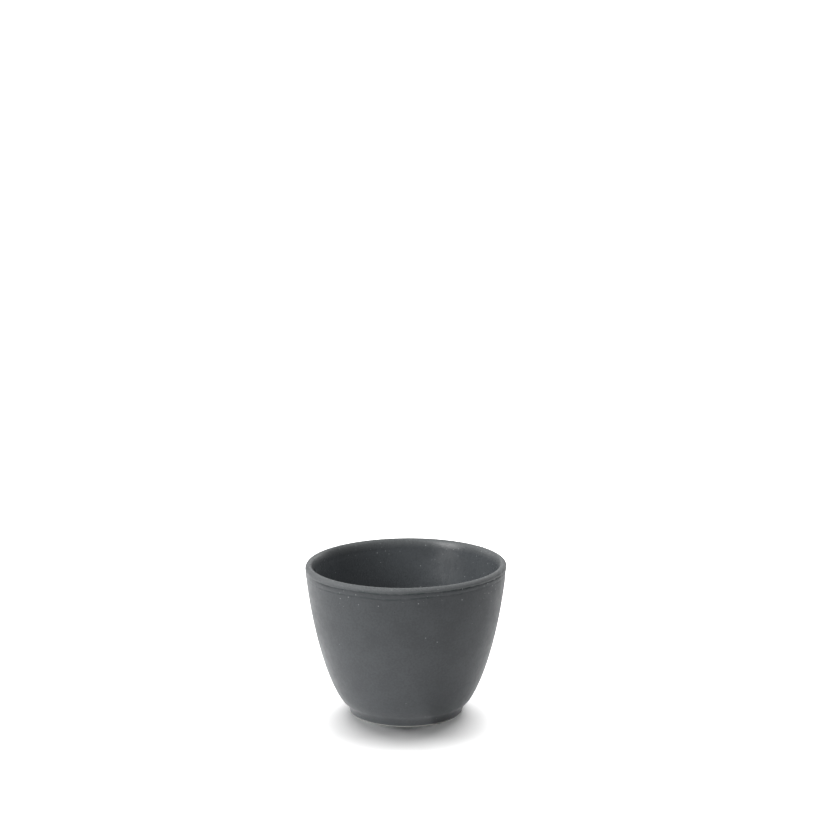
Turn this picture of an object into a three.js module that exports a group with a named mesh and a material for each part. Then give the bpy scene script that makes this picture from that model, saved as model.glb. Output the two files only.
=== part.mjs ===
// A handleless stoneware cup: one fired clay body and the glaze coats melted onto it.
// Millimetres, +Z up. The origin is the centre of the foot, on the face the cup rests on.
// Outlines are drawn as radius and height, then turned about the cup's axis.

import * as THREE from 'three';

// Overall sizes, over the glaze
const HEIGHT = 69;
const RIM_DIAMETER = 90.4;
const FOOT_DIAMETER = 50.9;

// Foot ring: the height of its side, how far the side flares, and the recess it encloses
const FOOT_HEIGHT = 3.6;
const FOOT_FLARE = 0.9;
const FOOT_RING_WIDTH = 3.6;
const FOOT_EDGE = 0.4;
const RECESS_DEPTH = 2;
const RECESS_DRAFT = 0.8;

// Outside of the wall: its lean from upright, and how far each end holds that lean
const LEAN_AT_FOOT = 60;
const HOLD_AT_FOOT = 9.3;
const LEAN_AT_LIP = 4.8;
const HOLD_AT_LIP = 27.7;

// Lip: the round of its outer edge, and the slower roll inside it, down to the wall's full thickness
const LIP_EDGE = 1.8;
const ROLL_DEPTH = 4;
const WALL_BELOW_ROLL = 3.9;

// Inside: the floor, and the same two measures for the inner wall
const FLOOR_THICKNESS = 4.5;
const FLOOR_INSET = 2.6;
const FLOOR_FILLET = 1.6;
const LEAN_AT_FLOOR = 48;
const HOLD_AT_FLOOR = 12;
const LEAN_INSIDE_LIP = 11;
const HOLD_INSIDE_LIP = 22;

// Two turned lines round the outside, measured down the wall from the lip, the upper one first
const LINE_WIDTH = 0.8;
const LINES = [
  { drop: 0.7, depth: 0.25 },
  { drop: 2.7, depth: 0.15 },
];

// Glaze coats, and the band of bare clay they leave above the foot's edge
const GLAZE = 0.4;
const BARE_BAND = 0.3;

// Finishes in soft daylight
const CLAY = { color: 0xb2b2ad, roughness: 0.85, metalness: 0 };
const OUTER_GLAZE = { color: 0x56585a, roughness: 0.5, metalness: 0 };
const LIP_GLAZE = { color: 0x6b6c6c, roughness: 0.5, metalness: 0 };
const LINER_GLAZE = { color: 0x45484b, roughness: 0.45, metalness: 0 };
const UNDERSIDE_GLAZE = { color: 0x515355, roughness: 0.5, metalness: 0 };

// Steps along each curve, and round the axis
const WALL_STEPS = 9;
const LIP_EDGE_STEPS = 4;
const ROLL_STEPS = 5;
const INSIDE_STEPS = 9;
const FILLET_STEPS = 3;
const TURN_STEPS = 64;

const vec = (radius, height) => new THREE.Vector2(radius, height);

// A direction in the outline, given by its lean from upright in degrees
const leaning = (degrees) => {
  const angle = THREE.MathUtils.degToRad(degrees);
  return vec(Math.sin(angle), Math.cos(angle));
};

// A wall curve that leaves its lower end and reaches its upper end at given leans
function wallCurve(low, lowLean, lowHold, high, highLean, highHold) {
  const lowHandle = low.clone().addScaledVector(leaning(lowLean), lowHold);
  const highHandle = high.clone().addScaledVector(leaning(highLean), -highHold);
  return new THREE.CubicBezierCurve(low, lowHandle, highHandle, high);
}

// The same chain of points, set in by a depth square to it; the solid lies to the chain's left
function inset(chain, depth) {
  return chain.map((point, i) => {
    const before = point.clone().sub(chain[Math.max(i - 1, 0)]).normalize();
    const after = chain[Math.min(i + 1, chain.length - 1)].clone().sub(point).normalize();
    const bisector = before.clone().add(after).normalize();
    const side = before.lengthSq() > 0 ? before : after;
    const reach = depth / Math.abs(bisector.dot(side));
    return vec(point.x - bisector.y * reach, point.y + bisector.x * reach);
  });
}

// Foot side: the wall springs from its top, and the glaze starts a little above its edge
const footRadius = FOOT_DIAMETER / 2;
const footTop = vec(footRadius + FOOT_FLARE, FOOT_HEIGHT);
const glazeLine = FOOT_EDGE + BARE_BAND;
const glazeStart = vec(footRadius + FOOT_FLARE * glazeLine / FOOT_HEIGHT, glazeLine);

// Lip: a round edge from the outer wall to the crest, then a roll that eases into the inner wall
const crest = vec(RIM_DIAMETER / 2 - LIP_EDGE, HEIGHT);
const lipEdge = Array.from({ length: LIP_EDGE_STEPS + 1 }, (_, step) => {
  const degrees = THREE.MathUtils.lerp(-LEAN_AT_LIP, 90, step / LIP_EDGE_STEPS);
  const angle = THREE.MathUtils.degToRad(degrees);
  return vec(crest.x + LIP_EDGE * Math.cos(angle), crest.y - LIP_EDGE * (1 - Math.sin(angle)));
});
const rollEnd = vec(RIM_DIAMETER / 2 - WALL_BELOW_ROLL, HEIGHT - ROLL_DEPTH);
const rollLean = leaning(LEAN_INSIDE_LIP);
const rollCorner = rollEnd.clone().addScaledVector(rollLean, ROLL_DEPTH / rollLean.y);
const lipRoll = new THREE.QuadraticBezierCurve(crest, rollCorner, rollEnd).getPoints(ROLL_STEPS);
const lip = [...lipEdge, ...lipRoll.slice(1)];

// Outer wall from the foot to the lip, with the turned lines pressed into it
function outerWall() {
  const wall = wallCurve(footTop, LEAN_AT_FOOT, HOLD_AT_FOOT, lip[0], LEAN_AT_LIP, HOLD_AT_LIP);
  const length = wall.getLength();
  const placeBelowLip = (drop) => wall.getUtoTmapping(0, length - drop);
  const pressed = (drop, depth) => {
    const place = placeBelowLip(drop);
    const tangent = wall.getTangent(place);
    return wall.getPoint(place).add(vec(-tangent.y, tangent.x).multiplyScalar(depth));
  };
  const lowestLine = placeBelowLip(LINES[LINES.length - 1].drop + LINE_WIDTH / 2);
  const points = [];
  for (let i = 1; i < WALL_STEPS; i++) {
    points.push(wall.getPoint(lowestLine * i / WALL_STEPS));
  }
  for (const { drop, depth } of LINES.toReversed()) {
    points.push(pressed(drop + LINE_WIDTH / 2, 0), pressed(drop, depth), pressed(drop - LINE_WIDTH / 2, 0));
  }
  return points;
}

// Inner wall from the lip down, round the fillet and over the floor to the axis
function innerWall() {
  const floorEdge = vec(footTop.x - FLOOR_INSET, RECESS_DEPTH + FLOOR_THICKNESS);
  const wall = wallCurve(
    floorEdge, LEAN_AT_FLOOR, HOLD_AT_FLOOR,
    rollEnd, LEAN_INSIDE_LIP, HOLD_INSIDE_LIP,
  );
  const filletTop = wall.getUtoTmapping(0, FLOOR_FILLET);
  const points = [];
  for (let i = 1; i < INSIDE_STEPS; i++) {
    points.push(wall.getPoint(THREE.MathUtils.lerp(1, filletTop, i / INSIDE_STEPS)));
  }
  const filletEnd = vec(floorEdge.x - FLOOR_FILLET, floorEdge.y);
  const fillet = new THREE.QuadraticBezierCurve(wall.getPoint(filletTop), floorEdge, filletEnd);
  return [...points, ...fillet.getPoints(FILLET_STEPS), vec(0, floorEdge.y)];
}

// The glazed surface in one chain, from the glaze line over the lip to the middle of the floor
const outside = [glazeStart, footTop, ...outerWall()];
const surface = [...outside, ...lip, ...innerWall()];
const clay = inset(surface, GLAZE);

// Places in the chain where the coats start, meet and end: in the upper line, and inside the lip
const GLAZE_START = 0;
const UPPER_LINE = outside.length - 2;
const LIP_END = outside.length + lip.length - 1;
const FLOOR_MIDDLE = surface.length - 1;

// A coat's outline between two places: back along the clay, then up its own surface
const coat = (from, to) => [
  ...clay.slice(from, to + 1).reverse(),
  ...surface.slice(from, to + 1),
];

// Recess under the foot: the clay is cut one glaze deeper than the finished recess
const recessMouth = footRadius - FOOT_RING_WIDTH;
const recessRadius = recessMouth - RECESS_DRAFT;
const recessCoat = [
  vec(0, RECESS_DEPTH),
  vec(recessRadius, RECESS_DEPTH),
  vec(recessRadius, RECESS_DEPTH + GLAZE),
  vec(0, RECESS_DEPTH + GLAZE),
];

// Clay body: recess, foot ring with its edges taken off, then the inset chain all the way round
const bareFoot = clay[0].x;
const body = [
  ...recessCoat.slice(1).reverse(),
  vec(recessMouth - FOOT_EDGE, FOOT_EDGE),
  vec(recessMouth, 0),
  vec(bareFoot - FOOT_EDGE, 0),
  vec(bareFoot, FOOT_EDGE),
  ...clay,
];

// A solid turned from an outline; an outline that misses the axis is closed on itself
function turned(name, outline, finish) {
  const onAxis = outline[0].x === 0;
  const points = onAxis ? outline : [...outline, outline[0]];
  const geometry = new THREE.LatheGeometry(points, TURN_STEPS).rotateX(Math.PI / 2);
  const mesh = new THREE.Mesh(geometry, new THREE.MeshStandardMaterial(finish));
  mesh.name = name;
  return mesh;
}

const cup = new THREE.Group();
cup.add(
  turned('stoneware_body', body, CLAY),
  turned('outer_glaze', coat(GLAZE_START, UPPER_LINE), OUTER_GLAZE),
  turned('lip_glaze', coat(UPPER_LINE, LIP_END), LIP_GLAZE),
  turned('liner_glaze', coat(LIP_END, FLOOR_MIDDLE), LINER_GLAZE),
  turned('underside_glaze', recessCoat, UNDERSIDE_GLAZE),
);

export default cup;
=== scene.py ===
# Dresses a handleless stoneware cup: fine turned meshes for the clay body and its glaze coats,
# procedural finishes, a white studio floor, soft lights and the camera of the front view.
import math

import bpy
import numpy as np
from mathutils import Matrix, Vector


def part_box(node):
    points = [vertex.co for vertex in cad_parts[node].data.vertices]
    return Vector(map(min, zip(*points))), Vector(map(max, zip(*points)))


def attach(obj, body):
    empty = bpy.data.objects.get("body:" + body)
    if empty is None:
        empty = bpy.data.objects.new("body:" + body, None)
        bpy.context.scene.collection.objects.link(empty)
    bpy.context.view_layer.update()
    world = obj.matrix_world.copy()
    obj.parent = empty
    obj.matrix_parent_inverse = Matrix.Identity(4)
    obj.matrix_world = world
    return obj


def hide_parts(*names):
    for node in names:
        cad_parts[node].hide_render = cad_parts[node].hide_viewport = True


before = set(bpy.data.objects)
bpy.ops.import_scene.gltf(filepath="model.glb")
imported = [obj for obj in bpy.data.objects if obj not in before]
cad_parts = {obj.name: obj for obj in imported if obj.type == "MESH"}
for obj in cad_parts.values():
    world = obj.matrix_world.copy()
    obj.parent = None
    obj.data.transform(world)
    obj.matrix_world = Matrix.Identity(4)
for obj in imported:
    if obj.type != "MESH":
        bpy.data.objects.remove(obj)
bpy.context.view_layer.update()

MM = 0.001

# Sizes read from the frame, in millimetres
LIP_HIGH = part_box("lip_glaze")[1]
UNDER_LOW, UNDER_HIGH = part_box("underside_glaze")
HEIGHT = LIP_HIGH[2] / MM
RIM_RADIUS = LIP_HIGH[0] / MM
RECESS_DEPTH = UNDER_LOW[2] / MM
RECESS_RADIUS = UNDER_HIGH[0] / MM
GLAZE = (UNDER_HIGH[2] - UNDER_LOW[2]) / MM
FLOOR_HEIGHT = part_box("liner_glaze")[0][2] / MM + GLAZE
GLAZE_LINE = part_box("outer_glaze")[0][2] / MM

# Foot, in millimetres
FOOT_RADIUS = 25.45
FOOT_HEIGHT = 3.6
FOOT_FLARE = 0.9
FOOT_FILLET = 2.7
FOOT_EDGE = 0.4
RING_WIDTH = 3.6

# Walls: lean from upright in degrees, and how far each end holds it; then the edge of the inside floor
LEAN_AT_FOOT = 60
HOLD_AT_FOOT = 9.3
LEAN_AT_LIP = 4.8
HOLD_AT_LIP = 27.7
LEAN_AT_FLOOR = 48
HOLD_AT_FLOOR = 12
LEAN_INSIDE_LIP = 11
HOLD_INSIDE_LIP = 22
FLOOR_INSET = 2.6
FLOOR_FILLET = 1.6

# Lip: the round of its outer edge, the inner roll down to the wall's full thickness,
# and how far down on either side of the crest the glaze is painted lighter: partly where it breaks thin,
# partly as a painted highlight
LIP_EDGE = 1.8
ROLL_DEPTH = 4
WALL_BELOW_ROLL = 3.9
BREAK_AND_HIGHLIGHT_OUTSIDE = 1.8
BREAK_AND_HIGHLIGHT_INSIDE = 4

# Turned lines: how far below the lip's edge, how deep, and the ring left proud between them
LINE_WIDTH = 1.4
LINES = ((0.4, 0.19), (2.7, 0.085))
RING_RISE = 0.06

# Hand of the maker: the rim's tilt to one side, how far the wall strays from round, how far each
# line strays from level, and how firmly each line was pressed. The waves round the cup that
# shape these are given by their count, height and phase.
RIM_TILT = math.radians(0.4)
WALL_WOBBLE = 0.06
WOBBLE_WAVES = ((2, 0.6, 0.7), (3, 0.3, 2.1), (5, 0.2, 0.0))
LINE_WANDER = (0.25, 0.65)
WANDER_WAVES = ((1, 1.0, 1.87), (5, 0.35, 0.7), (9, 0.25, 1.4))
EVEN_PRESS = 0.75
UPPER_PRESS = ((1, 0.2, 1.57), (2, 0.2, -1.57), (5, 0.12, 0.2), (13, 0.2, 2.0))
LOWER_PRESS = ((2, 0.55, -1.57), (5, 0.12, 2.2), (13, 0.2, 0.92))

# The outer coat ends above the foot in a bead, this much flatter than a half round
BEAD_SAG = 0.8

# Mesh fineness
CURVE_SAMPLES = 801
TURN_STEPS = 256
WALL_SPACING = 0.8
LINE_SPACING = 0.1
LIP_STEPS = 18
FILLET_STEPS = 8
FLOOR_STEPS = 14
HIDDEN_STRIDE = 5
SHARP_TURN = math.radians(40)
NEAR_AXIS = 1e-6

# Columns of a station: radius, height, the way it faces, press of the turned lines, nearness
# to the crest, how far the liner has taken over from the outer coat, and the deep inside floor,
# which is painted darker as shade
PLACE = slice(0, 2)
FACING = slice(2, 4)
PRESS = 4
CREST = 5
LINED = 6
DEEP = 7
COLUMNS = 8


def leaning(degrees):
    angle = math.radians(degrees)
    return np.array([math.sin(angle), math.cos(angle)])


def bezier(points, t):
    """Points of a curve given by its control points, at each t."""
    points = [np.asarray(p, float) for p in points]
    t = np.atleast_1d(t)[:, None]
    while len(points) > 1:
        points = [a + (b - a) * t for a, b in zip(points, points[1:])]
    return points[0]


class Wall:
    """A wall curve that leaves its lower end and reaches its upper end at given leans."""

    def __init__(self, low, low_lean, low_hold, high, high_lean, high_hold):
        low, high = np.asarray(low, float), np.asarray(high, float)
        self.controls = (low, low + leaning(low_lean) * low_hold,
                         high - leaning(high_lean) * high_hold, high)
        self.t = np.linspace(0, 1, CURVE_SAMPLES)
        steps = np.linalg.norm(np.diff(bezier(self.controls, self.t), axis=0), axis=1)
        self.lengths = np.concatenate([[0], np.cumsum(steps)])
        self.length = self.lengths[-1]

    def at(self, distance):
        """Points at distances along the curve from its lower end."""
        return bezier(self.controls, np.interp(distance, self.lengths, self.t))


def spaced(start, end, spacing):
    count = max(2, round(abs(end - start) / spacing) + 1)
    return np.linspace(start, end, count)


def line_shape(offset, width):
    """One in the middle of a rounded line, falling to nothing at its edges."""
    return np.where(np.abs(offset) < width / 2, np.cos(math.pi * offset / width) ** 2, 0.0)


def pressed(drop):
    """Depth of the turned lines at a distance below the lip's edge; the ring between them stands proud."""
    (upper, _), (lower, _) = LINES
    depth = sum(deepest * line_shape(drop - place, LINE_WIDTH) for place, deepest in LINES)
    return depth - RING_RISE * line_shape(drop - (upper + lower) / 2, lower - upper)


def stations(points, press=0.0, crest=0.0, lined=0.0, deep=0.0):
    """Rows for the points of an outline; which way they face is filled in later."""
    rows = np.zeros((len(points), COLUMNS))
    rows[:, PLACE] = points
    rows[:, PRESS] = press
    rows[:, CREST] = crest
    rows[:, LINED] = lined
    rows[:, DEEP] = deep
    return rows


def outer_rows(foot_top, lip_start):
    """The outside from the glaze line up to the lip, with the turned lines."""
    glaze_start = np.array([FOOT_RADIUS + FOOT_FLARE * GLAZE_LINE / FOOT_HEIGHT, GLAZE_LINE])
    side = (foot_top - glaze_start) / np.linalg.norm(foot_top - glaze_start)
    wall = Wall(foot_top, LEAN_AT_FOOT, HOLD_AT_FOOT, lip_start, LEAN_AT_LIP, HOLD_AT_LIP)
    fillet = (foot_top - side * FOOT_FILLET, foot_top, wall.at(FOOT_FILLET)[0])
    foot = bezier((glaze_start, fillet[0]), np.linspace(0, 1, FILLET_STEPS)[:-1])
    spring = bezier(fillet, np.linspace(0, 1, FILLET_STEPS + 1))

    upper_line = wall.length - LINES[0][0]
    lines_low = wall.length - LINES[-1][0] - 2 * LINE_WIDTH
    along = np.concatenate([spaced(FOOT_FILLET, lines_low, WALL_SPACING)[1:],
                            spaced(lines_low, upper_line, LINE_SPACING)[1:],
                            spaced(upper_line, wall.length, LINE_SPACING)[1:-1]])
    wall_rows = stations(wall.at(along), pressed(wall.length - along))
    rows = np.vstack([stations(foot), stations(spring), wall_rows])
    return rows, len(foot) + len(spring) + int(np.argmin(np.abs(along - upper_line)))


def lip_rows(lip_start, crest, roll_end):
    """The lip's round edge and, past its crest, the slower roll into the inside."""
    centre = crest - (0, LIP_EDGE)
    angle = np.linspace(math.radians(-LEAN_AT_LIP), math.pi / 2, LIP_STEPS + 1)
    edge = centre + LIP_EDGE * np.stack([np.cos(angle), np.sin(angle)], axis=1)
    corner = roll_end + leaning(LEAN_INSIDE_LIP) * (crest[1] - roll_end[1]) / leaning(LEAN_INSIDE_LIP)[1]
    along = np.linspace(0, 1, LIP_STEPS + 1)[1:]
    points = np.vstack([edge, bezier((crest, corner, roll_end), along)])
    lined = np.concatenate([np.zeros(len(edge)), along])
    press = np.concatenate([pressed(LIP_EDGE * (angle[0] - angle)), np.zeros(len(along))])
    # The crest is painted lighter down to these depths: partly where the glaze breaks thin, partly a painted
    # highlight
    fade = np.where(lined > 0, BREAK_AND_HIGHLIGHT_INSIDE, BREAK_AND_HIGHLIGHT_OUTSIDE)
    rise = np.clip((points[:, 1] - crest[1]) / fade + 1, 0, 1)
    return stations(points, press, rise, lined)


def inner_rows(foot_top, roll_end):
    """The inside from the lip's roll down the wall, round the crease and over the floor to the axis."""
    floor_edge = np.array([foot_top[0] - FLOOR_INSET, FLOOR_HEIGHT])
    wall = Wall(floor_edge, LEAN_AT_FLOOR, HOLD_AT_FLOOR, roll_end, LEAN_INSIDE_LIP, HOLD_INSIDE_LIP)
    down = wall.at(spaced(wall.length, FLOOR_FILLET, WALL_SPACING)[1:-1])
    floor_start = floor_edge - (FLOOR_FILLET, 0)
    crease = bezier((wall.at(FLOOR_FILLET)[0], floor_edge, floor_start), np.linspace(0, 1, FILLET_STEPS + 1))
    floor = bezier((floor_start, (0, FLOOR_HEIGHT)), np.linspace(0, 1, FLOOR_STEPS)[1:])
    # The floor's rows are marked deep: there the glaze is painted darker as shade
    rows = [stations(down, lined=1.0), stations(crease, lined=1.0), stations(floor, lined=1.0, deep=1.0)]
    return np.vstack(rows)


def surface_chain():
    """The glazed surface from the glaze line over the lip to the middle of the floor.

    Returns its stations, and those where the coats meet: in the upper line, inside the lip, on the axis.
    """
    foot_top = np.array([FOOT_RADIUS + FOOT_FLARE, FOOT_HEIGHT])
    crest = np.array([RIM_RADIUS - LIP_EDGE, HEIGHT])
    lean = math.radians(LEAN_AT_LIP)
    lip_start = crest + (LIP_EDGE * math.cos(lean), -LIP_EDGE * (1 + math.sin(lean)))
    roll_end = np.array([RIM_RADIUS - WALL_BELOW_ROLL, HEIGHT - ROLL_DEPTH])
    outer, upper_line = outer_rows(foot_top, lip_start)
    lip = lip_rows(lip_start, crest, roll_end)
    chain = np.vstack([outer, lip, inner_rows(foot_top, roll_end)])
    ahead = np.gradient(chain[:, PLACE], axis=0)
    ahead /= np.linalg.norm(ahead, axis=1)[:, None]
    chain[:, FACING] = np.stack([ahead[:, 1], -ahead[:, 0]], axis=1)
    chain[-1, FACING] = (0, 1)
    return chain, upper_line, len(outer) + len(lip) - 1, len(chain) - 1


def waves(angle, terms):
    return sum(height * np.sin(count * angle + phase) for count, height, phase in terms)


def uneven(x, y, z):
    """Moves points as a maker's hand leaves them: the rim tilted, the wall not round, the lines not level."""
    share = np.clip(z / HEIGHT, 0, 1)
    angle = np.arctan2(y, x)
    grow = 1 + WALL_WOBBLE * waves(angle, WOBBLE_WAVES) * share / RIM_RADIUS
    lift = math.tan(RIM_TILT) * x * share ** 2
    for (drop, _), reach in zip(LINES, LINE_WANDER):
        near = np.exp(-((z - HEIGHT + LIP_EDGE + drop) / LINE_WIDTH) ** 2)
        lift = lift + reach * waves(angle, WANDER_WAVES) * near
    return x * grow, y * grow, z + lift


def turned(name, outline, closed, material):
    """A mesh turned from an outline, riding on the cup and standing for a node of the frame."""
    count = len(outline)
    angle = np.linspace(0, 2 * math.pi, TURN_STEPS, endpoint=False)
    between = HEIGHT - LIP_EDGE - (LINES[0][0] + LINES[1][0]) / 2
    lower = outline[:, 1, None] < between
    firmness = np.where(lower, waves(angle, LOWER_PRESS), waves(angle, UPPER_PRESS))
    press = outline[:, PRESS, None] * (EVEN_PRESS + firmness)
    radius = outline[:, 0, None] - outline[:, 2, None] * press
    height = outline[:, 1, None] - outline[:, 3, None] * press
    x, y, z = uneven(radius * np.cos(angle), radius * np.sin(angle), height)

    on_axis = outline[:, 0] < NEAR_AXIS
    pool = np.clip(press, 0, None) / LINES[0][1]
    index = np.zeros((count, TURN_STEPS), int)
    verts, ring_of, pool_of = [], [], []
    for i in range(count):
        sides = slice(0, 1) if on_axis[i] else slice(None)
        index[i] = len(verts) + np.arange(TURN_STEPS) * (not on_axis[i])
        verts.extend(zip(x[i, sides], y[i, sides], z[i, sides]))
        pool_of.extend(pool[i, sides])
        ring_of.extend([i] * (len(verts) - len(ring_of)))
    faces = []
    ahead = np.roll(np.arange(TURN_STEPS), -1)
    for i in range(count if closed else count - 1):
        low, high = index[i], index[(i + 1) % count]
        if on_axis[i] and on_axis[(i + 1) % count]:
            continue
        for quad in np.stack([low, low[ahead], high[ahead], high], axis=1).tolist():
            faces.append(list(dict.fromkeys(quad)))

    mesh = bpy.data.meshes.new(name)
    mesh.from_pydata([Vector(v) * MM for v in verts], [], faces)
    mesh.validate()
    ring_of = np.array(ring_of)
    paint(mesh, "pool", pool_of)
    paint(mesh, "crest", outline[ring_of, CREST])
    paint(mesh, "lined", outline[ring_of, LINED])
    paint(mesh, "deep", outline[ring_of, DEEP])
    mark_sharp(mesh, ring_of, sharp_rings(outline[:, PLACE], closed))
    mesh.materials.append(material)
    piece = bpy.data.objects.new(name, mesh)
    bpy.context.scene.collection.objects.link(piece)
    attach(piece, "root")
    return piece


def paint(mesh, name, values):
    layer = mesh.attributes.new(name, "FLOAT", "POINT")
    layer.data.foreach_set("value", np.asarray(values, np.float32))


def sharp_rings(points, closed):
    """The rings where the outline turns a corner."""
    before = points - np.roll(points, 1, axis=0)
    after = np.roll(points, -1, axis=0) - points
    turn = np.abs(np.arctan2(before[:, 0] * after[:, 1] - before[:, 1] * after[:, 0],
                             (before * after).sum(axis=1)))
    if not closed:
        turn[0] = turn[-1] = 0
    return turn > SHARP_TURN


def mark_sharp(mesh, ring_of, sharp):
    """Smooth shading all over, with an edge kept along every sharp ring."""
    ends = np.empty(len(mesh.edges) * 2, int)
    mesh.edges.foreach_get("vertices", ends)
    a, b = ring_of[ends[::2]], ring_of[ends[1::2]]
    layer = mesh.attributes.new("sharp_edge", "BOOLEAN", "EDGE")
    layer.data.foreach_set("value", (a == b) & sharp[a])
    mesh.polygons.foreach_set("use_smooth", np.ones(len(mesh.polygons), bool))


class Graph:
    """A material's node tree, with short ways to add and wire its nodes."""

    def __init__(self, name):
        self.material = bpy.data.materials.new(name)
        self.material.use_nodes = True
        self.tree = self.material.node_tree
        self.shader = self.tree.nodes["Principled BSDF"]
        self.coords = self.tree.nodes.new("ShaderNodeTexCoord").outputs["Object"]

    def wire(self, source, socket):
        if isinstance(source, bpy.types.NodeSocket):
            self.tree.links.new(source, socket)
        else:
            socket.default_value = source

    def height(self):
        """Height above the foot in millimetres."""
        node = self.tree.nodes.new("ShaderNodeSeparateXYZ")
        self.wire(self.coords, node.inputs[0])
        return self.math("DIVIDE", node.outputs["Z"], MM)

    def noise(self, size, detail=2.0, roughness=0.5):
        """A cloud from 0 to 1 whose features are about size millimetres across."""
        node = self.tree.nodes.new("ShaderNodeTexNoise")
        node.inputs["Scale"].default_value = 1 / (size * MM)
        node.inputs["Detail"].default_value = detail
        node.inputs["Roughness"].default_value = roughness
        self.wire(self.coords, node.inputs["Vector"])
        return node.outputs["Fac"]

    def cells(self, size):
        """Points size millimetres apart: distance to the nearest, in cells, and two random numbers."""
        node = self.tree.nodes.new("ShaderNodeTexVoronoi")
        node.inputs["Scale"].default_value = 1 / (size * MM)
        self.wire(self.coords, node.inputs["Vector"])
        split = self.tree.nodes.new("ShaderNodeSeparateColor")
        self.wire(node.outputs["Color"], split.inputs[0])
        return node.outputs["Distance"], split.outputs["Red"], split.outputs["Green"]

    def painted(self, name):
        node = self.tree.nodes.new("ShaderNodeAttribute")
        node.attribute_name = name
        return node.outputs["Fac"]

    def math(self, operation, *values):
        node = self.tree.nodes.new("ShaderNodeMath")
        node.operation = operation
        for value, socket in zip(values, node.inputs):
            self.wire(value, socket)
        return node.outputs[0]

    def ramp(self, value, low, high, to_low=0.0, to_high=1.0):
        """A value carried from one range to another, smoothly and clamped."""
        node = self.tree.nodes.new("ShaderNodeMapRange")
        node.interpolation_type = "SMOOTHSTEP"
        for number, socket in zip((value, low, high, to_low, to_high), node.inputs):
            self.wire(number, socket)
        return node.outputs[0]

    def mix(self, factor, a, b):
        node = self.tree.nodes.new("ShaderNodeMix")
        node.data_type = "RGBA"
        for value, name in ((factor, "Factor_Float"), (a, "A_Color"), (b, "B_Color")):
            socket = next(s for s in node.inputs if s.identifier == name)
            self.wire(value, socket)
        return next(s for s in node.outputs if s.identifier == "Result_Color")

    def bump(self, height, depth, under=None):
        """A relief of the given depth in millimetres, over another relief if there is one."""
        node = self.tree.nodes.new("ShaderNodeBump")
        node.inputs["Distance"].default_value = depth * MM
        self.wire(height, node.inputs["Height"])
        if under is not None:
            self.wire(under, node.inputs["Normal"])
        return node.outputs["Normal"]


# Tints of the glaze, and the neutral one of the studio: shares of red, green and blue
SLATE = (0.945, 1.0, 1.06)
DEEP_SLATE = (0.92, 1.0, 1.07)
FLOOR_SHADE_TINT = (0.75, 0.97, 1.25)
TEAL = (0.8, 1.05, 1.05)
PALE = (0.95, 1.0, 1.02)
NEUTRAL = (1.0, 1.0, 1.0)

# Glaze lightness outside and inside, on the deep inside floor as painted shade, where it pools in the lines,
# on the lip's crest where it breaks lighter and carries a painted highlight, and in its specks and pinholes
OUTER_LEVEL = 0.0405
LINER_LEVEL = 0.062
FLOOR_SHADE_LEVEL = 0.018
LINE_LEVEL = 0.6 * OUTER_LEVEL
LIP_LEVEL = 0.13
SPECK_LEVEL = 0.17
SPECK_INSIDE = 0.3
PIT_LEVEL = 0.4 * OUTER_LEVEL

# Glaze sheen: roughness and strength of reflection, and how much drier the lip's outer edge is,
# with the part of the inner roll over which that fades
OUTER_ROUGH = 0.48
LINER_ROUGH = 0.29
OUTER_GLOSS = 0.06
LIP_GLOSS = 0.24
LINER_GLOSS = 0.26
GLAZE_IOR = 1.5
LIP_DRYNESS = 0.16
DRY_FADE = 0.4

# Patches in the glaze: their size in millimetres, the range of the noise that they use, and their
# effect. Clouds mix a coarse noise with a fine one; the lip's lighter break with its painted highlight,
# and the lines' pooling, are patchy.
PATCH_DETAIL = 3
CLOUD_SIZE = 11
MOTTLE_SIZE = 0.9
CLOUD_SHARE = 0.4
CLOUD_RANGE = (0.36, 0.64)
CLOUD_DEPTH = 0.08
BREAK_AND_HIGHLIGHT_SIZE = 0.6
BREAK_AND_HIGHLIGHT_RANGE = (0.3, 0.66)
BREAK_AND_HIGHLIGHT_LEAST = 0.6
POOL_SIZE = 3
POOL_RANGE = (0.38, 0.62)
POOL_LEAST = 0.1
SHEEN_SIZE = 3
SHEEN_RANGE = (0.3, 0.7)
SHEEN_SPREAD = 0.04

# Fine relief of the glaze, in millimetres
RIPPLE_SIZE = 4
GRAIN_SIZE = 0.35
RELIEF_DEPTH = 0.008

# Spots: their least and most reach as parts of their size, how much of that is full, how strongly
# those in the glaze show, and how far they stand out or sink in
SPOT_SPREAD = (0.3, 0.7)
SPOT_CORE = 0.5
SPOT_STRENGTH = 0.6
SPOT_DEPTH = 0.03

# Pale specks and pinholes: spacing and size in millimetres, and the share of places that carry one.
# Specks grow more common between two heights, given as parts of the cup's.
SPECK_SPACING = 1.7
SPECK_SIZE = 0.54
SPECK_HEIGHTS = (0.8, 0.97)
SPECK_SHARES = (0.03, 0.6)
SPECK_SHARE_INSIDE = 0.1
PIT_SPACING = 5.2
PIT_SIZE = 0.55
PIT_SHARE = 0.2

# Bare clay: dark and pale grain, warmer blotches and iron spots, with sizes in millimetres
CLAY_DARK = (0.21, 0.214, 0.205, 1)
CLAY_PALE = (0.34, 0.348, 0.334, 1)
CLAY_SIZE = 0.4
CLAY_DETAIL = 4
CLAY_HARSHNESS = 0.65
CLAY_RANGE = (0.3, 0.7)
CLAY_ROUGH = (0.78, 0.95)
CLAY_RELIEF = 0.06
BLOTCH_COLOUR = (0.2, 0.193, 0.178, 1)
BLOTCH_SIZE = 9
BLOTCH_RANGE = (0.4, 0.75)
BLOTCH_MOST = 0.5
IRON_COLOUR = (0.08, 0.06, 0.05, 1)
IRON_SPACING = 1.7
IRON_SIZE = 0.4
IRON_SHARE = 0.3
IRON_STRENGTH = 0.7


def tone(level, tint):
    """A linear colour of the given lightness."""
    return tuple(level * share for share in tint) + (1.0,)


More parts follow.
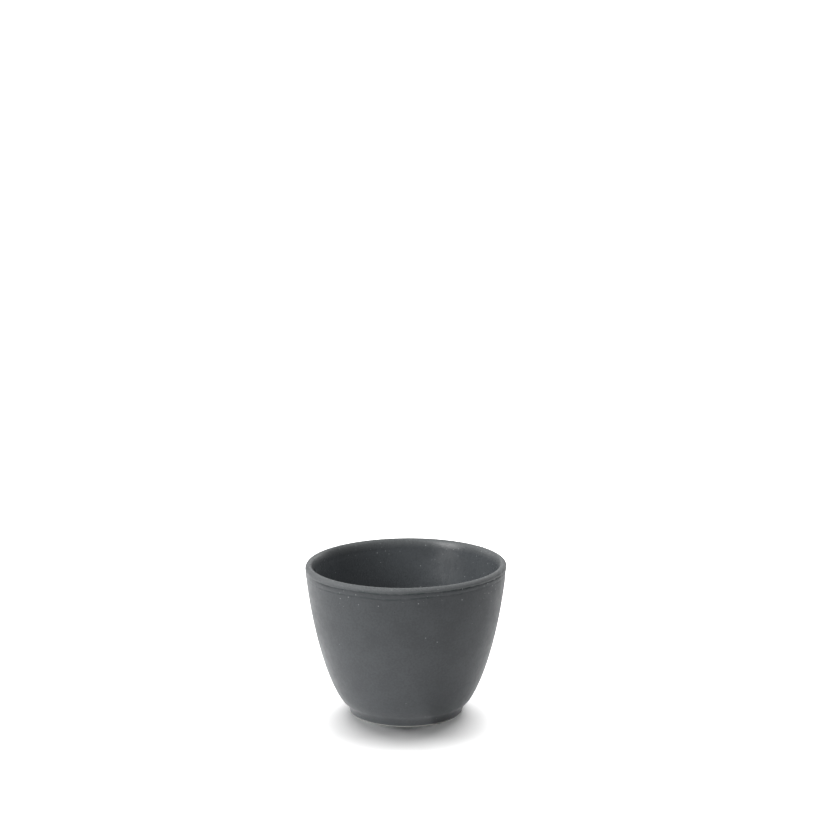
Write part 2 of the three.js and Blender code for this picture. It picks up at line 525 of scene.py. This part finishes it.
def specks(graph, spacing, size, share):
    """Spots of about size millimetres, on a share of points that lie spacing millimetres apart."""
    distance, pick, spread = graph.cells(spacing)
    least, most = (part * size / spacing for part in SPOT_SPREAD)
    reach = graph.ramp(spread, 0, 1, least, most)
    fade = graph.ramp(graph.math("DIVIDE", distance, reach), SPOT_CORE, 1.0)
    spot = graph.math("SUBTRACT", 1.0, fade)
    return graph.math("MULTIPLY", spot, graph.math("LESS_THAN", pick, share))


def glaze(name, gloss, dryness=0.0):
    """Satin stoneware glaze: faintly clouded, pale specks near the lip, a few pinholes.

    It is lighter on the crest of the lip, partly where it breaks thin and partly as a painted highlight,
    pools darker in the turned lines, is painted darker as shade on the inside floor,
    and is smoother inside. Dryness roughens it outside.
    """
    graph = Graph(name)
    lined = graph.painted("lined")

    def coat(share):
        """The coat's colour outside and inside, at a share of its lightness."""
        return graph.mix(lined, tone(share * OUTER_LEVEL, SLATE), tone(share * LINER_LEVEL, DEEP_SLATE))

    coarse = graph.math("MULTIPLY", graph.noise(CLOUD_SIZE, PATCH_DETAIL), CLOUD_SHARE)
    fine = graph.math("MULTIPLY", graph.noise(MOTTLE_SIZE, PATCH_DETAIL), 1 - CLOUD_SHARE)
    cloud = graph.ramp(graph.math("ADD", coarse, fine), *CLOUD_RANGE)
    colour = graph.mix(cloud, coat(1 - CLOUD_DEPTH), coat(1 + CLOUD_DEPTH))
    # The deep inside floor is painted darker and bluer: painted shade
    colour = graph.mix(graph.painted("deep"), colour, tone(FLOOR_SHADE_LEVEL, FLOOR_SHADE_TINT))
    break_and_highlight = graph.ramp(graph.noise(BREAK_AND_HIGHLIGHT_SIZE, PATCH_DETAIL), *BREAK_AND_HIGHLIGHT_RANGE, BREAK_AND_HIGHLIGHT_LEAST, 1)
    crest = graph.math("MULTIPLY", graph.painted("crest"), break_and_highlight)
    # Lighter paint on the crest: partly where the glaze breaks thin, partly a painted highlight
    colour = graph.mix(crest, colour, tone(LIP_LEVEL, PALE))
    pooling = graph.ramp(graph.noise(POOL_SIZE, PATCH_DETAIL), *POOL_RANGE, POOL_LEAST, 1)
    pool = graph.math("MULTIPLY", graph.painted("pool"), pooling)
    colour = graph.mix(pool, colour, tone(LINE_LEVEL, TEAL))

    low, high = (part * HEIGHT for part in SPECK_HEIGHTS)
    upper = graph.ramp(graph.height(), low, high, *SPECK_SHARES)
    share = graph.math("MAXIMUM", upper, graph.math("MULTIPLY", lined, SPECK_SHARE_INSIDE))
    spot = specks(graph, SPECK_SPACING, SPECK_SIZE, share)
    pale = graph.mix(lined, tone(SPECK_LEVEL, PALE), tone(SPECK_INSIDE, PALE))
    colour = graph.mix(graph.math("MULTIPLY", spot, SPOT_STRENGTH), colour, pale)
    pit = specks(graph, PIT_SPACING, PIT_SIZE, PIT_SHARE)
    colour = graph.mix(graph.math("MULTIPLY", pit, SPOT_STRENGTH), colour, tone(PIT_LEVEL, SLATE))
    graph.wire(colour, graph.shader.inputs["Base Color"])

    rough = graph.ramp(lined, 0, 1, OUTER_ROUGH, LINER_ROUGH)
    rough = graph.math("ADD", rough, graph.ramp(lined, 0, DRY_FADE, dryness, 0))
    sheen = graph.noise(SHEEN_SIZE, PATCH_DETAIL)
    stray = graph.ramp(sheen, *SHEEN_RANGE, -SHEEN_SPREAD, SHEEN_SPREAD)
    graph.wire(graph.math("ADD", rough, stray), graph.shader.inputs["Roughness"])
    relief = graph.bump(graph.noise(RIPPLE_SIZE), RELIEF_DEPTH)
    relief = graph.bump(graph.noise(GRAIN_SIZE), RELIEF_DEPTH, relief)
    relief = graph.bump(graph.math("SUBTRACT", spot, pit), SPOT_DEPTH, relief)
    graph.wire(relief, graph.shader.inputs["Normal"])
    graph.shader.inputs["IOR"].default_value = GLAZE_IOR
    graph.shader.inputs["Specular IOR Level"].default_value = gloss
    return graph.material


def fired_clay():
    """Bare stoneware: pale grey, fine grained, with a few dark iron spots."""
    graph = Graph("fired_clay")
    grain = graph.noise(CLAY_SIZE, CLAY_DETAIL, CLAY_HARSHNESS)
    colour = graph.mix(graph.ramp(grain, *CLAY_RANGE), CLAY_DARK, CLAY_PALE)
    blotch = graph.ramp(graph.noise(BLOTCH_SIZE), *BLOTCH_RANGE, 0, BLOTCH_MOST)
    colour = graph.mix(blotch, colour, BLOTCH_COLOUR)
    iron = specks(graph, IRON_SPACING, IRON_SIZE, IRON_SHARE)
    colour = graph.mix(graph.math("MULTIPLY", iron, IRON_STRENGTH), colour, IRON_COLOUR)
    graph.wire(colour, graph.shader.inputs["Base Color"])
    graph.wire(graph.ramp(grain, *CLAY_RANGE, *CLAY_ROUGH), graph.shader.inputs["Roughness"])
    graph.wire(graph.bump(grain, CLAY_RELIEF), graph.shader.inputs["Normal"])
    return graph.material


def build_cup():
    """The clay body and the four coats, all cut from one chain of stations. Returns the pieces."""
    chain, line, lip_end, middle = surface_chain()
    clay = chain.copy()
    clay[:, PLACE] -= chain[:, FACING] * GLAZE
    clay[-1, 0] = 0.0

    def hidden(start, end):
        """The clay side of a coat, from one station to another, thinned because it never shows."""
        step = HIDDEN_STRIDE if end > start else -HIDDEN_STRIDE
        return clay[list(range(start, end, step)) + [end]]

    def piece(name, outline, closed, material, node, slot):
        made = turned(name, np.vstack(outline), closed, material)
        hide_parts(node)
        return made

    across = (chain[0, PLACE] - clay[0, PLACE]) / 2
    down = np.array([across[1], -across[0]])
    turn = np.linspace(0, math.pi, FILLET_STEPS + 2)[1:-1, None]
    bead = clay[0, PLACE] + across * (1 - np.cos(turn)) + BEAD_SAG * down * np.sin(turn)

    recess_top = RECESS_DEPTH + GLAZE
    recess = [(r, RECESS_DEPTH) for r in np.linspace(0, RECESS_RADIUS, FLOOR_STEPS)]
    recess += [(RECESS_RADIUS, recess_top), (0.0, recess_top)]

    mouth = FOOT_RADIUS - RING_WIDTH
    foot = clay[0, 0]
    quarter = np.linspace(0, math.pi / 2, FILLET_STEPS)
    inner_edge = [(mouth - FOOT_EDGE * math.cos(a), FOOT_EDGE * (1 - math.sin(a))) for a in quarter]
    outer_edge = [(foot - FOOT_EDGE * (1 - math.sin(a)), FOOT_EDGE * (1 - math.cos(a))) for a in quarter]
    bare = [(0.0, recess_top), (RECESS_RADIUS, recess_top), (RECESS_RADIUS, RECESS_DEPTH)]

    return [
        piece("outer_glaze_coat", (hidden(line, 0), stations(bead), chain[:line + 1]), True,
              glaze("outer_glaze", OUTER_GLOSS), "outer_glaze", "outer_glaze"),
        piece("lip_glaze_coat", (hidden(lip_end, line), chain[line:lip_end + 1]), True,
              glaze("lip_glaze", LIP_GLOSS, LIP_DRYNESS), "lip_glaze", "lip_glaze"),
        piece("liner_glaze_coat", (hidden(middle, lip_end), chain[lip_end:]), False,
              glaze("liner_glaze", LINER_GLOSS), "liner_glaze", "liner_glaze"),
        piece("underside_glaze_coat", (stations(recess),), False,
              glaze("underside_glaze", OUTER_GLOSS), "underside_glaze", "underside_glaze"),
        piece("clay_body", (stations(bare + inner_edge + outer_edge), hidden(0, middle)), False,
              fired_clay(), "stoneware_body", "clay"),
    ]


# Camera of the front view: its distance from the cup's middle, the angle it sees the cup from,
# and where in the picture the cup's middle lies. The sensor is in millimetres, the farthest sight in metres.
PICTURE = 830
CUP_PIXEL = (405.5, 635.9)
VIEW_DISTANCE = 1.0
VIEW_ELEVATION = math.radians(16.85)
PIXELS_PER_RADIAN = 2201
SENSOR = 36.0
FARTHEST = 100


def build_camera():
    data = bpy.data.cameras.new("front_camera")
    data.sensor_width = SENSOR
    data.lens = data.sensor_width * PIXELS_PER_RADIAN / PICTURE
    data.clip_end = FARTHEST
    camera = bpy.data.objects.new("front_camera", data)
    bpy.context.scene.collection.objects.link(camera)
    middle = Vector((0, 0, HEIGHT * MM / 2))
    back = Vector((0, -math.cos(VIEW_ELEVATION), math.sin(VIEW_ELEVATION)))
    camera.location = middle + back * VIEW_DISTANCE
    right = math.atan((CUP_PIXEL[0] - PICTURE / 2) / PIXELS_PER_RADIAN)
    down = math.atan((CUP_PIXEL[1] - PICTURE / 2) / PIXELS_PER_RADIAN)
    camera.rotation_euler = (math.pi / 2 - VIEW_ELEVATION + down, 0, right)
    bpy.context.scene.camera = camera


# Studio floor in metres: a round sheet that fades into the white surround
FLOOR_SOLID = 0.7
FLOOR_REACH = 1.2
FLOOR_SIDES = 96

# Its paper: two near whites in soft clouds some millimetres across, and its sheen
PAPER_SHADES = (0.86, 0.9)
PAPER_CLOUD = 300
PAPER_ROUGH = 0.9
PAPER_GLOSS = 0.1


def build_floor():
    graph = Graph("white_floor")
    darker, lighter = (tone(level, NEUTRAL) for level in PAPER_SHADES)
    shade = graph.mix(graph.noise(PAPER_CLOUD), darker, lighter)
    graph.wire(shade, graph.shader.inputs["Base Color"])
    graph.shader.inputs["Roughness"].default_value = PAPER_ROUGH
    graph.shader.inputs["Specular IOR Level"].default_value = PAPER_GLOSS
    distance = graph.tree.nodes.new("ShaderNodeVectorMath")
    distance.operation = "LENGTH"
    graph.wire(graph.coords, distance.inputs[0])
    fade = graph.ramp(distance.outputs["Value"], FLOOR_SOLID, FLOOR_REACH, 1, 0)
    graph.wire(fade, graph.shader.inputs["Alpha"])
    mesh = bpy.data.meshes.new("studio_floor")
    angle = np.linspace(0, 2 * math.pi, FLOOR_SIDES, endpoint=False)
    edge = [(FLOOR_REACH * math.cos(a), FLOOR_REACH * math.sin(a), 0.0) for a in angle]
    mesh.from_pydata(edge, [], [tuple(range(FLOOR_SIDES))])
    mesh.materials.append(graph.material)
    floor = bpy.data.objects.new("studio_floor", mesh)
    bpy.context.scene.collection.objects.link(floor)
    return floor


# Soft lights in metres and watts: place, size across and up, and power.
# Softboxes round the cup, cards lying beside it that throw light up its wall, and lights for the floor;
# then how brightly the surround lights the cup and how brightly it shows
SOFTBOXES = {
    "left_softbox": ((-1.17, -0.75, 0.8), (0.7, 0.9), 32),
    "left_back_softbox": ((-1.2, 0.8, 0.7), (0.8, 0.9), 4.5),
    "right_softbox": ((1.1, -0.3, 1.2), (0.9, 0.8), 9),
    "right_back_softbox": ((1.1, 1.0, 0.6), (0.8, 0.9), 4),
    "back_softbox": ((0.3, 1.4, 0.7), (1.8, 0.8), 12.5),
    "overhead_softbox": ((0, -0.2, 2.2), (3.5, 3.5), 28),
}
TABLE_CARDS = {
    "left_card": ((-0.25, -0.03, 0.003), (0.3, 0.6), 0.8),
    "right_card": ((0.25, -0.03, 0.003), (0.3, 0.6), 0.05),
    "left_foot_card": ((-0.04, -0.01, 0.0002), (0.105, 0.14), 0.082),
    "right_foot_card": ((0.0495, -0.01, 0.0002), (0.074, 0.14), 0.021),
}
FLOOR_LIGHTS = {
    "floor_overhead": ((0, 0.1, 1.2), (0.5, 0.5), 6),
    "floor_strip": ((0, 0.4, 1.2), (1.8, 0.4), 43),
    "floor_back": ((0, 1.5, 0.9), (1.6, 0.8), 14.5),
    "floor_left": ((-1.3, 0.5, 0.6), (0.6, 0.5), 12.5),
    "floor_right": ((1.3, 0.5, 0.6), (0.6, 0.5), 8.5),
}
SKY_LIGHT = 0.05
SKY_SHOWN = 1.1


def group(name, members):
    made = bpy.data.collections.new(name)
    for member in members:
        made.objects.link(member)
    return made


def build_lights(lights, reached, towards=None):
    """Soft lights that fall only on what is in the reached group, aimed at the cup or one way."""
    for name, (place, size, power) in lights.items():
        data = bpy.data.lights.new(name, "AREA")
        data.shape = "RECTANGLE"
        data.size, data.size_y = size
        data.energy = power
        light = bpy.data.objects.new(name, data)
        bpy.context.scene.collection.objects.link(light)
        light.location = place
        aim = towards or Vector((0, 0, HEIGHT * MM / 2)) - light.location
        light.rotation_euler = aim.to_track_quat("-Z", "Y").to_euler()
        light.light_linking.receiver_collection = reached
        light.visible_camera = False


def build_surround():
    """A white surround: it shows pure white behind the cup and lights it softly."""
    world = bpy.data.worlds.new("studio")
    world.use_nodes = True
    tree = world.node_tree
    path = tree.nodes.new("ShaderNodeLightPath")
    strength = tree.nodes.new("ShaderNodeMapRange")
    strength.inputs["To Min"].default_value = SKY_LIGHT
    strength.inputs["To Max"].default_value = SKY_SHOWN
    tree.links.new(path.outputs["Is Camera Ray"], strength.inputs["Value"])
    tree.links.new(strength.outputs[0], tree.nodes["Background"].inputs["Strength"])
    tree.nodes["Background"].inputs["Color"].default_value = tone(1.0, NEUTRAL)
    bpy.context.scene.world = world
    bpy.context.scene.view_settings.view_transform = "Standard"


cup = build_cup()
build_camera()
floor = build_floor()
lit_cup = group("lit_cup", cup)
build_lights(SOFTBOXES, lit_cup)
build_lights(TABLE_CARDS, lit_cup, Vector((0, 0, 1)))
build_lights(FLOOR_LIGHTS, group("lit_floor", [floor]))
build_surround()
